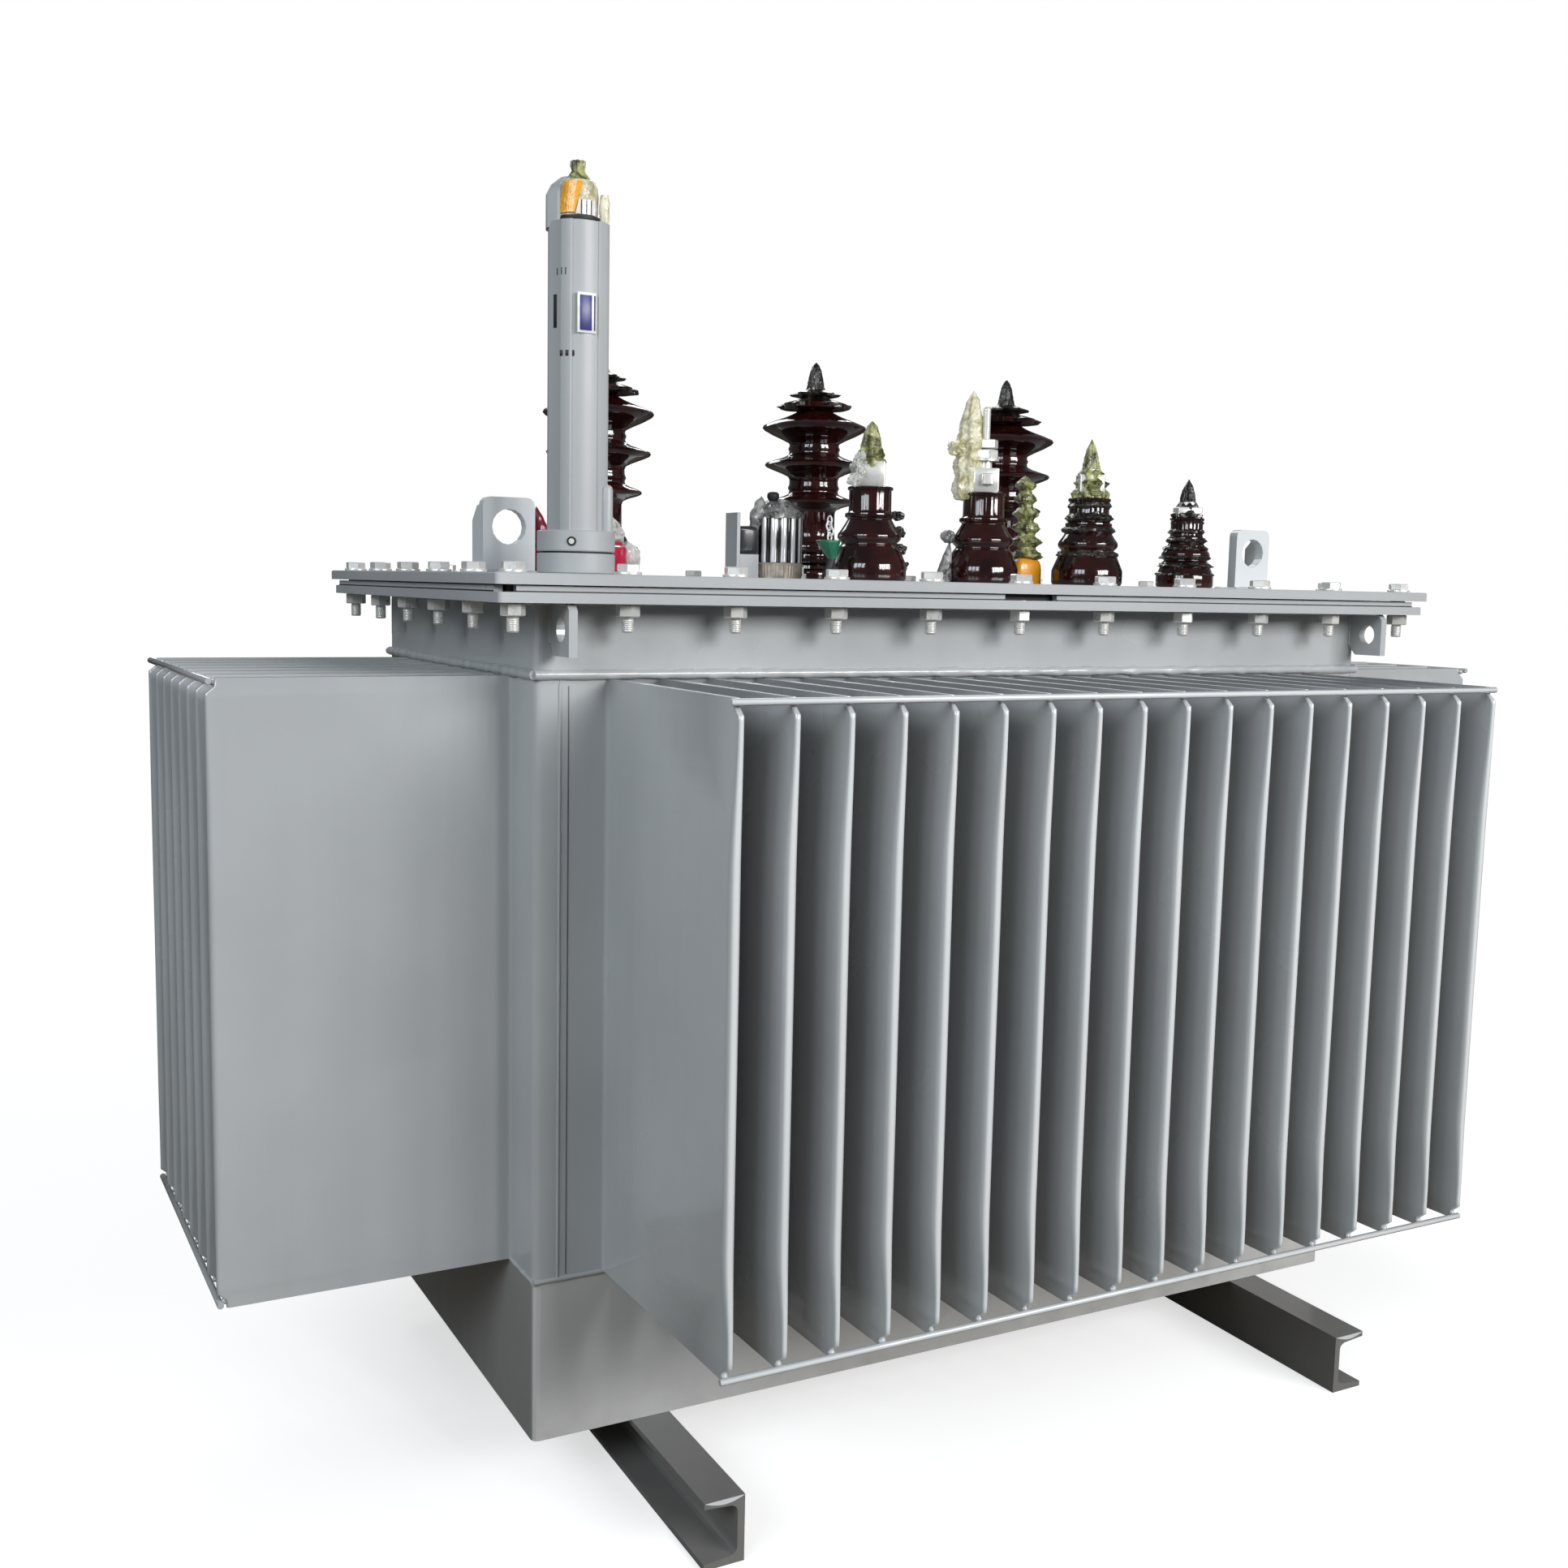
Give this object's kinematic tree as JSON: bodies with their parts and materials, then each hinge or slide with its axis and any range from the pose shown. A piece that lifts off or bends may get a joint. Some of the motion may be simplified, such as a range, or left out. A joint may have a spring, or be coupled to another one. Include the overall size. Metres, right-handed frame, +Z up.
{
  "type": "power transformer",
  "caption": "Oil-immersed power transformer with a sealed corrugated tank on channel feet, a bolted lid, porcelain bushings, an oil gauge and lifting lugs.",
  "frame": {"origin": "on the ground under the middle of the tank, at the underside of the feet", "axes": "+X along the long front face to the right, +Y towards the rear, +Z up"},
  "size_m": [1.54, 1.004, 1.2376],
  "materials": {
    "grey_enamel": "glossy light grey enamel",
    "black_rubber": "matt black",
    "brown_porcelain": "dark maroon glaze",
    "bright_zinc": "bright zinc plate",
    "red_paint": "satin red paint",
    "aged_brass": "dull brass",
    "bright_chrome": "bright plated",
    "dark_plastic": "dark grey, satin",
    "green_plastic": "glossy green",
    "orange_plastic": "glossy orange"
  },
  "bodies": {
    "root": {"tank_base": "grey_enamel", "front_fin_wall": "grey_enamel", "rear_fin_wall": "grey_enamel", "left_fin_wall": "grey_enamel", "right_fin_wall": "grey_enamel", "tank_collar": "grey_enamel", "rim_flange": "grey_enamel", "lid_gasket": "black_rubber", "lid": "grey_enamel", "front_left_corner_plate": "grey_enamel", "front_right_corner_plate": "grey_enamel", "rear_left_corner_plate": "grey_enamel", "rear_right_corner_plate": "grey_enamel", "left_foot": "grey_enamel", "right_foot": "grey_enamel", "left_lifting_lug": "grey_enamel", "right_lifting_lug": "grey_enamel", "hv_left_porcelain": "brown_porcelain", "hv_left_terminal": "bright_zinc", "hv_middle_porcelain": "brown_porcelain", "hv_middle_terminal": "bright_zinc", "hv_right_porcelain": "brown_porcelain", "hv_right_terminal": "bright_zinc", "lv_1_porcelain": "brown_porcelain", "lv_1_terminal": "bright_zinc", "lv_2_porcelain": "brown_porcelain", "lv_2_terminal": "bright_zinc", "lv_3_porcelain": "brown_porcelain", "lv_3_terminal": "bright_zinc", "lv_4_porcelain": "brown_porcelain", "lv_4_terminal": "bright_zinc", "gauge_base": "grey_enamel", "gauge_tube": "grey_enamel", "gauge_cap": "grey_enamel", "protection_relay": "red_paint", "tap_changer_base": "aged_brass", "tap_changer_cover": "bright_chrome", "relief_valve": "dark_plastic", "relief_valve_bracket": "grey_enamel", "filler_stem": "black_rubber", "filler_cap": "green_plastic", "contact_block": "orange_plastic"}
  },
  "joints": []
}
